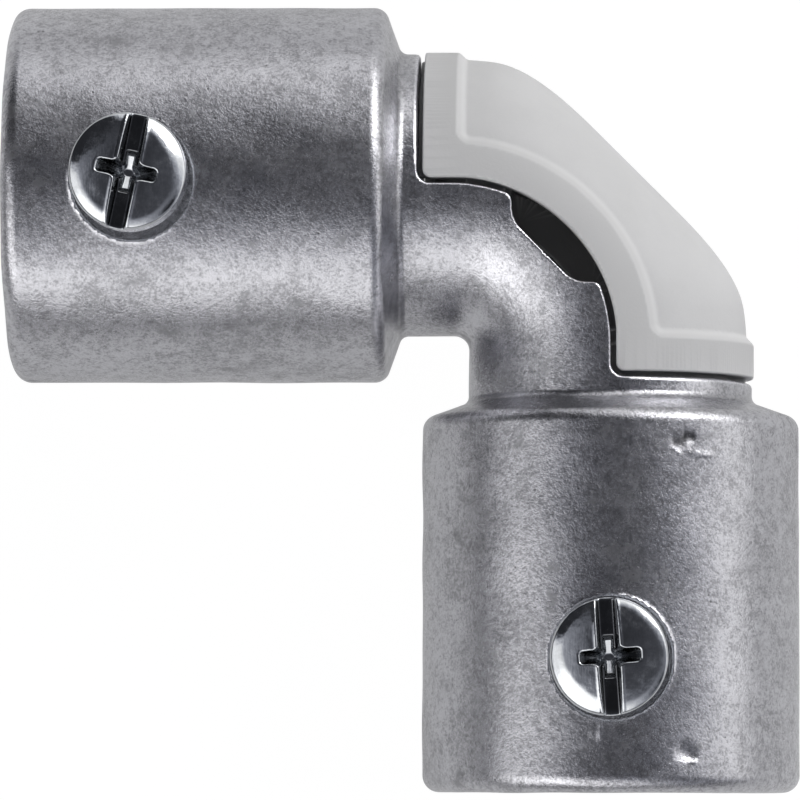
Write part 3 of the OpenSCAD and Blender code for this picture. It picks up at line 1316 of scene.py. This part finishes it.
@dataclass
class ClampScrew:
    """A pan-head clamp screw with a slot and a cross recess, on a threaded shank."""

    places: tuple[ScrewPlace, ...] = (
        ScrewPlace(
            piece="side_screw",
            node="side_clamp_screw",
            body=Body.SIDE_SCREW,
            x=-39.8,
            y=0.0,
            turn=-11.6,
            shift=(0.1, 0.0),
            lean=(-0.6, -0.2),
        ),
        ScrewPlace(
            piece="lower_screw",
            node="lower_clamp_screw",
            body=Body.LOWER_SCREW,
            x=0.0,
            y=-39.8,
            turn=3.8,
            shift=(-0.18, 0.0),
            lean=(1.2, 0.8),
        ),
    )
    tip_z: float = 13.75
    length: float = 6.0
    thread_r: float = 2.45
    thread_depth: float = 0.42
    pitch: float = 0.8
    tip_chamfer: float = 0.5
    head_r: float = 4.84
    head_h: float = 3.7
    dome_r: float = 20.0
    bevel_start: float = 3.95
    bevel_tilt: float = math.radians(19)
    bevel_blend: float = 0.12
    bevel_oval: float = 0.5
    bevel_shift: float = 0.2
    rim_edge: float = 0.2
    under_edge: float = 0.25
    slot_half_w: float = 0.64
    slot_draft: float = 0.16
    slot_depth: float = 1.6
    wing_half_w: float = 0.55
    wing_fillet: float = 1.0
    facet_slope: float = 0.5
    facet_start: float = 0.26
    facet_run: float = 1.1
    wall_slope: float = 1.6
    cross_top_r: float = 2.75
    cross_depth: float = 2.8
    lip_h: float = 0.05
    lip_w: float = 0.13
    slot_round: float = 0.15
    cut_edge: float = 0.1
    cone_squash: float = 0.35
    wing_end: float = 0.3
    wing_taper: tuple[float, float] = (0.5, 0.55)
    fillet_taper: tuple[float, float] = (0.2, 0.8)
    taper_limit: float = 1.2
    recess_shade_top: tuple[float, float] = (0.2, 0.8)
    recess_shade_floor: tuple[float, float] = (2.25, 2.0)
    recess_shade_rim: float = 0.3
    recess_shade_foot: float = 0.5
    cell: float = 0.085
    quick_cell: float = 0.16
    side_room: float = 0.4
    top_room: float = 0.5
    thread_around: int = 72
    thread_rings: int = 150
    thread_groove: tuple[float, float] = (0.1, 0.9)
    thread_overlap: float = 0.2
    weld: float = 0.001

    def from_head(self, p: np.ndarray, place: ScrewPlace) -> np.ndarray:
        """Gives points from the middle of a head, one part a row."""
        return p.T - np.array([[*place.shift, 0.0]]).T

    def top(self, p: np.ndarray, place: ScrewPlace) -> np.ndarray:
        """Measures how far points lie above a head's bevelled dome.

        Args:
            p: One point a row, from the tip of the screw.
            place: The screw's place.

        Returns:
            Distance to the dome, below 0 under it.
        """
        x, y, z = self.from_head(p, place)
        crown = self.length + self.head_h
        r = np.hypot(x, y)
        from_top = np.hypot(x - place.lean[0], y - place.lean[1])
        dome = np.hypot(from_top, z - crown + self.dome_r) - self.dome_r
        c, s = math.cos(self.bevel_tilt), math.sin(self.bevel_tilt)
        shift = [self.bevel_shift * part for part in place.lean]
        from_ring = np.hypot(x - shift[0], y - shift[1])
        start = self.bevel_start + self.bevel_oval * (x - y) ** 2 / (2 * np.maximum(r, 1) ** 2)
        return round_max(dome, dome * c + (from_ring - start) * s, self.bevel_blend)

    def recess(self, p: np.ndarray, place: ScrewPlace) -> np.ndarray:
        """Marks the painted shade in a head's slot and recess, above the recess's bright floor.

        Args:
            p: One point a row, from the tip of the screw.
            place: The screw's place.

        Returns:
            The mark at each point, from 0 to 1.
        """
        x, y, z = self.from_head(p, place)
        depth = -self.top(p, place)
        # Painted shade: deep in the slot and recess, but not on the recess's floor facets.
        recess_shade = smooth_ramp(*self.recess_shade_top, depth) * smooth_ramp(*self.recess_shade_floor, depth)
        within = smooth_ramp(self.head_r, self.head_r - self.recess_shade_rim, np.hypot(x, y))
        return recess_shade * within * (z > self.length + self.recess_shade_foot)

    def field(self, p: np.ndarray, place: ScrewPlace) -> np.ndarray:
        """Measures how far points lie outside a screw's head.

        Args:
            p: One point a row, from the tip of the screw.
            place: The screw's place.

        Returns:
            Distance to the surface, below 0 inside.
        """
        x, y, z = self.from_head(p, place)
        crown = self.length + self.head_h
        r = np.hypot(x, y)
        dome = self.top(p, place)
        half_w = self.slot_half_w + self.slot_draft * (z - crown + self.slot_depth)
        lip = np.exp(-(((np.abs(x) - half_w - self.lip_w) / self.lip_w) ** 2))
        head = round_max(dome - self.lip_h * lip, r - self.head_r, self.rim_edge)
        head = round_max(head, self.length - z, self.under_edge)
        slot = round_max(np.abs(x) - half_w, crown - self.slot_depth - z, self.slot_round)
        widen = (self.cross_top_r - self.wing_half_w) / self.cross_depth
        rise = z - crown + self.cross_depth
        cone = np.hypot(x, self.cone_squash * y) - self.wing_half_w - widen * rise
        cone = cone / math.hypot(1, widen)
        share = np.clip(rise / self.cross_depth, 0, self.taper_limit)
        spread = self.wing_half_w * (self.wing_taper[0] + self.wing_taper[1] * share)
        fillet = self.wing_fillet * (self.fillet_taper[0] + self.fillet_taper[1] * share)
        wings = round_min(np.abs(x) - spread, np.abs(y) - spread, fillet)
        along = np.maximum(np.abs(y) - self.facet_start, 0)
        wall = self.wall_slope * np.maximum(along - self.facet_run, 0)
        ramp = self.facet_slope * np.minimum(along, self.facet_run)
        facets = (crown - self.cross_depth + ramp + wall - z) / math.hypot(1, self.facet_slope)
        cross = round_max(round_max(wings, cone, self.wing_end), facets, self.cut_edge)
        return round_max(round_max(head, -slot, self.cut_edge), -cross, self.cut_edge)

    def head(self, place: ScrewPlace) -> bpy.types.Mesh:
        """Meshes a head, for a screw whose tip is at the origin.

        Args:
            place: The screw's place.

        Returns:
            The head, with its painted shade marked.
        """
        wide = self.head_r + self.side_room
        low = (-wide, -wide, self.length - self.side_room)
        high = (wide, wide, self.length + self.head_h + self.top_room)
        cell = self.cell
        mesher = FormMesher(lambda p: self.field(p, place), low, high, cell)
        points, quads = mesher.net()
        points = mesher.settle(points, rounds=3)
        mesh = mesh_from("screw_head", points * MM, quads)
        store_marks(mesh, {"recess": self.recess(points, place)})
        return mesh

    def thread_tree(self) -> tuple[bpy.types.NodeTree, dict[str, str]]:
        """Builds the tree that winds a thread, joins the head to it and places the screw.

        Returns:
            The tree, and the identifier of each of its named inputs.
        """
        tree = bpy.data.node_groups.new("clamp_screw", "GeometryNodeTree")
        kinds = {
            "Geometry": "Geometry",
            "Thread radius": "Float",
            "Thread depth": "Float",
            "Pitch": "Float",
            "Length": "Float",
            "Tip chamfer": "Float",
            "Turn": "Float",
            "Place": "Vector",
            "Material": "Material",
        }
        names = {}
        for name, kind in kinds.items():
            socket_type = f"NodeSocket{kind}"
            socket = tree.interface.new_socket(name, in_out="INPUT", socket_type=socket_type)
            names[name] = socket.identifier
        tree.interface.new_socket("Geometry", in_out="OUTPUT", socket_type="NodeSocketGeometry")
        g = NodeGraph(tree)
        given = {name: g.add("NodeGroupInput", output=name) for name in kinds}
        counts = {"Vertices X": self.thread_around + 1, "Vertices Y": self.thread_rings + 1}
        sheet = g.add("GeometryNodeMeshGrid", {}, {"Size X": 1.0, "Size Y": 1.0, **counts}, "Mesh")
        spot = g.add("GeometryNodeInputPosition")
        turn = g.add("ShaderNodeSeparateXYZ", {}, {0: spot}, "X") + 0.5
        rise = g.add("ShaderNodeSeparateXYZ", {}, {0: spot}, "Y") + 0.5
        z = rise * given["Length"]
        groove = ((z / given["Pitch"] - turn).math("FRACT") * 2.0 - 1.0).math("ABSOLUTE")
        cut = given["Thread depth"] * groove.ramp(*self.thread_groove)
        taper = given["Thread radius"] - given["Tip chamfer"] + z
        shell = (given["Thread radius"] - cut).math("MINIMUM", taper)
        half_ring = 0.5 / self.thread_rings
        between = rise.math("GREATER_THAN", half_ring) * rise.math("LESS_THAN", 1 - half_ring)
        radius = shell * between
        angle = turn * (2 * math.pi)
        spiral = {0: radius * angle.math("COSINE"), 1: radius * angle.math("SINE"), 2: z}
        wound = g.add("ShaderNodeCombineXYZ", {}, spiral)
        shank = g.add("GeometryNodeSetPosition", {}, {"Geometry": sheet, "Position": wound})
        welded = {"Geometry": shank, "Distance": self.weld * MM}
        shank = g.add("GeometryNodeMergeByDistance", {}, welded)
        whole = g.add("GeometryNodeJoinGeometry", {}, {"Geometry": [given["Geometry"], shank]})
        spin = g.add("ShaderNodeCombineXYZ", {}, {2: given["Turn"]})
        placed = {"Geometry": whole, "Translation": given["Place"], "Rotation": spin}
        whole = g.add("GeometryNodeTransform", {}, placed)
        whole = g.add("GeometryNodeRealizeInstances", {}, {"Geometry": whole})
        whole = g.add("GeometryNodeSetShadeSmooth", {}, {"Geometry": whole})
        dressed = {"Geometry": whole, "Material": given["Material"]}
        whole = g.add("GeometryNodeSetMaterial", {}, dressed)
        g.add("NodeGroupOutput", {}, {"Geometry": whole})
        return tree, names

    def build(self, material: bpy.types.Material) -> list[bpy.types.Object]:
        """Makes both screws.

        Args:
            material: Their finish.

        Returns:
            The two pieces.
        """
        tree, names = self.thread_tree()
        pieces = []
        for place in self.places:
            blank = show("screw_blank", self.head(place))
            screw = blank.modifiers.new("screw", "NODES")
            screw.node_group = tree
            where = ELBOW_ORIGIN + [place.x, place.y, self.tip_z]
            sizes = {
                "Thread radius": self.thread_r * MM,
                "Thread depth": self.thread_depth * MM,
                "Pitch": self.pitch * MM,
                "Length": (self.length + self.thread_overlap) * MM,
                "Tip chamfer": self.tip_chamfer * MM,
                "Turn": math.radians(place.turn),
                "Place": tuple(where * MM),
                "Material": material,
            }
            for name, size in sizes.items():
                screw[names[name]] = size
            piece = show(place.piece, evaluated_mesh(blank))
            bpy.data.objects.remove(blank)
            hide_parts(place.node)
            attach(piece, place.body.value)
            pieces.append(piece)
        return pieces


@dataclass(frozen=True)
class TentSide:
    """One side of the light tent: which way it stands, and its level by degrees from overhead."""

    toward: tuple[float, float]
    levels: tuple[tuple[float, float], ...]


@dataclass(frozen=True)
class Glow:
    """A soft lamp in the tent, or a dark screen where its level is below 0.

    It is full within its inner angle and ends at its outer one, both in degrees.
    """

    toward: tuple[float, float, float]
    inner: float
    outer: float
    level: float


@dataclass
class Studio:
    """The camera over the part, the pale floor and the soft light round it.

    The camera's aim and distance are in millimetres, its clip range and the floor in metres.
    """

    aim: tuple[float, float, float] = (-0.45, 0.0, 16.0)
    distance: float = 545.0
    yaw: float = math.radians(1.75)
    pitch: float = math.radians(3.5)
    px_per_mm: float = 11.72
    sensor: float = 36.0
    clip: tuple[float, float] = (0.01, 100.0)
    floor_half: float = 4.0
    floor_z: float = -0.0002
    floor_grey: float = 0.68
    floor_white: float = 0.9
    floor_gloss: float = 0.3
    floor_glow: float = 1.08
    floor_near: tuple[float, float] = (0.09, 0.16)
    dim: float = 0.03
    cool: tuple[float, float, float] = (0.93, 0.96, 1.12)
    plain: tuple[float, float, float] = (1.0, 0.995, 1.0)
    sides: tuple[TentSide, ...] = (
        TentSide(
            toward=(1, 0),
            levels=((0, 0.04), (34, 0.11), (54, 0.34), (68, 0.85), (80, 1.15), (92, 1.12)),
        ),
        TentSide(
            toward=(-1, 0),
            levels=((0, 0.04), (16, 0.07), (32, 0.5), (46, 1.08), (70, 1.15), (75, 0.3), (80, 0.0)),
        ),
        TentSide(
            toward=(0, 1),
            levels=((0, 0.04), (36, 0.05), (46, 0.5), (54, 0.95), (70, 1.0), (86, 0.92)),
        ),
        TentSide(
            toward=(0, -1),
            levels=(
                (0, 0.04),
                (19, 0.08),
                (36, 0.5),
                (51, 1.05),
                (74, 1.12),
                (78, 0.25),
                (82, 0.0),
            ),
        ),
    )
    glows: tuple[Glow, ...] = (
        Glow((0.61, 0.61, 0.5), 10, 18, 4.0),
        Glow((0.66, 0.66, 0.36), 15, 45, 0.6),
        Glow((-0.57, -0.6, 0.6), 14, 30, 0.8),
        Glow((-0.62, 0.62, 0.5), 25, 39, -1.1),
        Glow((0.64, -0.64, 0.32), 18, 40, -0.6),
        Glow((0.0, -1.0, 0.5), 4, 18, 0.25),
    )

    def camera(self) -> None:
        """Stands the camera over the part, as the photo shows it."""
        data = bpy.data.cameras.new("camera")
        data.sensor_width = self.sensor
        data.lens = self.sensor * self.px_per_mm * self.distance / PHOTO_SIDE
        back = Vector((math.sin(self.yaw), -math.sin(self.pitch), 1.0)).normalized()
        right = (Vector((1, 0, 0)) - back * back.x).normalized()
        up = back.cross(right)
        camera = bpy.data.objects.new("camera", data)
        camera.matrix_world = Matrix((right, up, back)).transposed().to_4x4()
        camera.location = Vector(self.aim) * MM + back * (self.distance * MM)
        data.clip_start, data.clip_end = self.clip
        bpy.context.scene.collection.objects.link(camera)
        bpy.context.scene.camera = camera

    def floor(self) -> None:
        """Lays the pale floor under the part."""
        half, z = self.floor_half, self.floor_z
        corners = np.array([[-half, -half, z], [half, -half, z], [half, half, z], [-half, half, z]])
        floor = show("floor", mesh_from("floor", corners, np.arange(4).reshape(1, 4)))
        material, g = new_material("pale_floor")
        seen = g.add("ShaderNodeLightPath", output="Is Camera Ray")
        mirrored = g.add("ShaderNodeLightPath", output="Is Glossy Ray")
        through = g.add("ShaderNodeLightPath", output="Is Transmission Ray")
        place = g.add("ShaderNodeTexCoord", output="Object")
        near = g.vector("LENGTH", place, output="Value").ramp(*self.floor_near, 1.0, 0.0)
        share = self.floor_white * seen + self.floor_gloss * near * (mirrored + through)
        plain = g.add("ShaderNodeBsdfDiffuse", {}, {"Color": grey(self.floor_grey)})
        glow = {"Color": grey(1.0), "Strength": self.floor_glow}
        white = g.add("ShaderNodeEmission", {}, glow)
        whole = g.add("ShaderNodeMixShader", {}, {0: share.clamped(), 1: plain, 2: white})
        g.add("ShaderNodeOutputMaterial", {}, {"Surface": whole})
        floor.data.materials.append(material)

    def light(self) -> None:
        """Lights the part with a soft tent: dim overhead, bright sides and lamps on a diagonal."""
        world = bpy.data.worlds.new("tent")
        bpy.context.scene.world = world
        world.use_nodes = True
        g = NodeGraph(world.node_tree)
        look = g.add("ShaderNodeTexCoord", output="Generated")
        x, y, z = (g.add("ShaderNodeSeparateXYZ", {}, {0: look}, k) for k in "XYZ")
        down = z.math("ARCCOSINE") / math.pi
        flat = (x * x + y * y).math("MAXIMUM", 1e-4)
        parts = []
        for side in self.sides:
            lean = (side.toward[0] * x + side.toward[1] * y).math("MAXIMUM", 0.0)
            stops = [(angle / 180, level) for angle, level in side.levels]
            curve = g.add("ShaderNodeValToRGB", {"stops": stops}, {"Fac": down}, "Color")
            parts.append(curve * (lean * lean / flat))
        for glow in self.glows:
            middle = tuple(Vector(glow.toward).normalized())
            off = g.vector("DOT_PRODUCT", look, middle, output="Value").math("ARCCOSINE")
            parts.append(glow.level * off.ramp(math.radians(glow.outer), math.radians(glow.inner)))
        strength = sum(parts[1:], parts[0]).math("MAXIMUM", self.dim)
        seen = g.add("ShaderNodeLightPath", output="Is Camera Ray")
        strength = strength * (1 - seen) + seen
        colour = g.mix(strength.clamped(), grey(1.0, self.cool), grey(1.0, self.plain))
        tent = g.add("ShaderNodeBackground", {}, {"Color": colour, "Strength": strength})
        g.add("ShaderNodeOutputWorld", {}, {"Surface": tent})

    def build(self) -> None:
        """Sets up the camera, the floor and the light."""
        self.camera()
        self.floor()
        self.light()
        bpy.context.scene.view_settings.view_transform = "Standard"


def main() -> None:
    """Loads the frame, builds the pieces round it and logs their face counts."""
    logging.basicConfig(level=logging.INFO, format="%(name)s: %(message)s")
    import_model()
    Studio().build()
    pieces = [
        ElbowCasting().build(CastFinish().make()),
        InspectionCover().build(PlasticFinish().make()),
        *ClampScrew().build(ZincFinish().make()),
    ]
    for piece in pieces:
        LOG.info("%s: %d faces", piece.name, len(piece.data.polygons))


if __name__ == "__main__":
    main()
